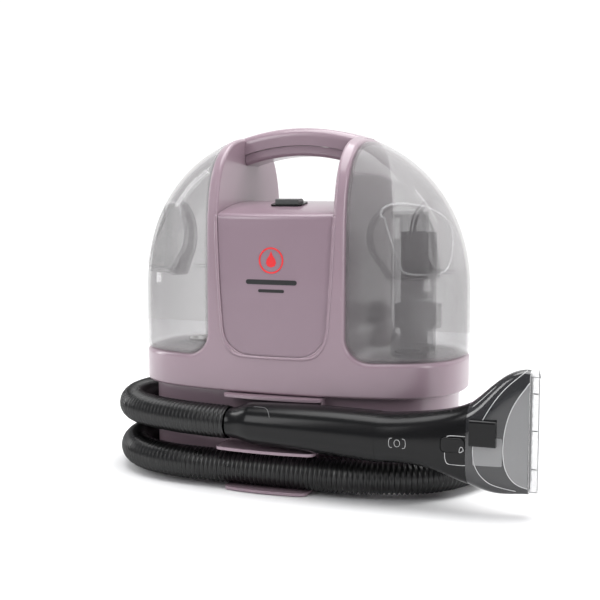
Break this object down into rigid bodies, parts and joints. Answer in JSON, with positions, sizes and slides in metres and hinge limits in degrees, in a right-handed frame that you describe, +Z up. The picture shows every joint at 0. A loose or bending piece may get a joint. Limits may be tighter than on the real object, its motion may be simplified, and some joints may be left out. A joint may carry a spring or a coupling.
{
  "type": "carpet cleaner machine",
  "caption": "Portable spot cleaner: domed housing with carrying handle, clear tanks at both ends, wound suction hose and spray wand with fan nozzle.",
  "frame": {"origin": "on the floor under the middle of the housing, at the central foot", "axes": "+X to the right seen from the front, along the wand; +Y to the back; +Z up"},
  "size_m": [0.3954, 0.2087, 0.3],
  "materials": {
    "pink_plastic": "dusty mauve, satin gloss",
    "pink_panel": "dusty mauve, satin gloss",
    "clear_tank": "smoky clear",
    "clear_nozzle": "dark clear",
    "black_plastic": "black, low gloss",
    "black_matte": "black, fine texture",
    "hose_black": "black, semi gloss",
    "grey_plastic": "grey moulded",
    "white_plastic": "natural white",
    "seal_rubber": "soft black",
    "steel": "zinc plated",
    "bristle": "nylon"
  },
  "bodies": {
    "machine": {"front_housing": "pink_plastic", "rear_housing": "pink_plastic", "handle_grip": "pink_plastic", "base_pan": "pink_plastic", "front_panel": "pink_panel", "switch_bezel": "black_plastic", "clean_seat": "black_matte", "dirty_seat": "black_matte", "tank_seals": "seal_rubber", "motor_can": "steel", "motor_stator": "steel", "fan_housing": "grey_plastic", "motor_mounts": "seal_rubber", "motor_bracket": "steel", "air_duct": "grey_plastic", "suction_duct": "grey_plastic", "pump_body": "grey_plastic", "pump_inlet_tube": "white_plastic", "spray_tube": "white_plastic", "exhaust_grille": "pink_plastic", "cord_gland": "black_matte", "cord_hook_lower": "pink_plastic", "hose_port": "black_matte", "hose": "hose_black", "hose_cuff": "black_plastic", "wand_cuff": "black_plastic", "wand_grip": "black_plastic", "wand_barrel": "black_plastic", "trigger_pin": "steel", "spray_valve": "grey_plastic", "housing_screws": "steel", "base_screws": "steel", "rubber_feet": "seal_rubber"},
    "power_rocker": {"power_switch": "black_plastic"},
    "clean_tank_unit": {"clean_tank": "clear_tank", "valve_guide": "white_plastic"},
    "clean_cap": {"clean_tank_cap": "black_matte", "cap_gasket": "seal_rubber", "valve_spring": "steel"},
    "clean_valve": {"valve_plunger": "white_plastic"},
    "dirty_tank_unit": {"dirty_tank": "clear_tank", "standpipes": "clear_tank"},
    "float_unit": {"float_ring": "white_plastic"},
    "drain_plug_unit": {"drain_plug": "black_matte"},
    "fan_rotor": {"fan_impeller": "black_matte", "motor_armature": "steel"},
    "pump_piston": {"pump_plunger": "steel", "pump_spring": "steel"},
    "upper_hook": {"cord_hook_upper": "pink_plastic"},
    "trigger_unit": {"trigger": "black_matte", "trigger_spring": "steel"},
    "latch_unit": {"latch_button": "black_plastic", "latch_spring": "steel"},
    "nozzle": {"nozzle_body": "black_plastic", "nozzle_cover": "clear_nozzle", "nozzle_lip": "clear_nozzle", "nozzle_socket": "black_plastic", "bristle_strip": "bristle", "spray_tip": "black_plastic"}
  },
  "joints": [
    {"name": "power_switch_rock", "type": "hinge", "parent": "machine", "child": "power_rocker", "pos_m": [0, -0.04159, 0.23155], "axis": [1, 0, 0], "range_deg": [0, 9]},
    {"name": "clean_tank_lift", "type": "slide", "parent": "machine", "child": "clean_tank_unit", "axis": [0, 0, 1], "range_m": [0, 0.12]},
    {"name": "clean_cap_turn", "type": "hinge", "parent": "clean_tank_unit", "child": "clean_cap", "pos_m": [-0.1, 0, 0.1], "axis": [0, 0, 1], "range_deg": [0, 90]},
    {"name": "clean_valve_lift", "type": "slide", "parent": "clean_cap", "child": "clean_valve", "axis": [0, 0, 1], "range_m": [0, 0.003], "stiffness_N_per_m": 150, "springref_m": -0.004, "deforming": ["valve_spring"]},
    {"name": "dirty_tank_lift", "type": "slide", "parent": "machine", "child": "dirty_tank_unit", "axis": [0, 0, 1], "range_m": [0, 0.12]},
    {"name": "float_rise", "type": "slide", "parent": "dirty_tank_unit", "child": "float_unit", "axis": [0, 0, 1], "range_m": [0, 0.022]},
    {"name": "drain_plug_pull", "type": "slide", "parent": "dirty_tank_unit", "child": "drain_plug_unit", "axis": [0.1908, 0.9816, 0], "range_m": [0, 0.03]},
    {"name": "fan_spin", "type": "hinge", "parent": "machine", "child": "fan_rotor", "pos_m": [0, 0, 0.11], "axis": [0, 0, 1], "continuous": true},
    {"name": "pump_stroke", "type": "slide", "parent": "machine", "child": "pump_piston", "axis": [1, 0, 0], "range_m": [-0.002, 0.002], "stiffness_N_per_m": 800, "deforming": ["pump_spring"]},
    {"name": "cord_hook_turn", "type": "hinge", "parent": "machine", "child": "upper_hook", "pos_m": [0, 0.072, 0.205], "axis": [0, 1, 0], "range_deg": [0, 180]},
    {"name": "trigger_squeeze", "type": "hinge", "parent": "machine", "child": "trigger_unit", "pos_m": [0.029, -0.0835, 0.056], "axis": [0, 0, -1], "range_deg": [0, 4], "stiffness_Nm_per_rad": 0.6, "springref_deg": -6.88, "deforming": ["trigger_spring"]},
    {"name": "latch_press", "type": "slide", "parent": "machine", "child": "latch_unit", "axis": [0, 1, 0], "range_m": [0, 0.0015], "stiffness_N_per_m": 600, "springref_m": -0.001, "deforming": ["latch_spring"]},
    {"name": "nozzle_pull", "type": "slide", "parent": "machine", "child": "nozzle", "axis": [1, 0, 0], "range_m": [0, 0.06]}
  ]
}
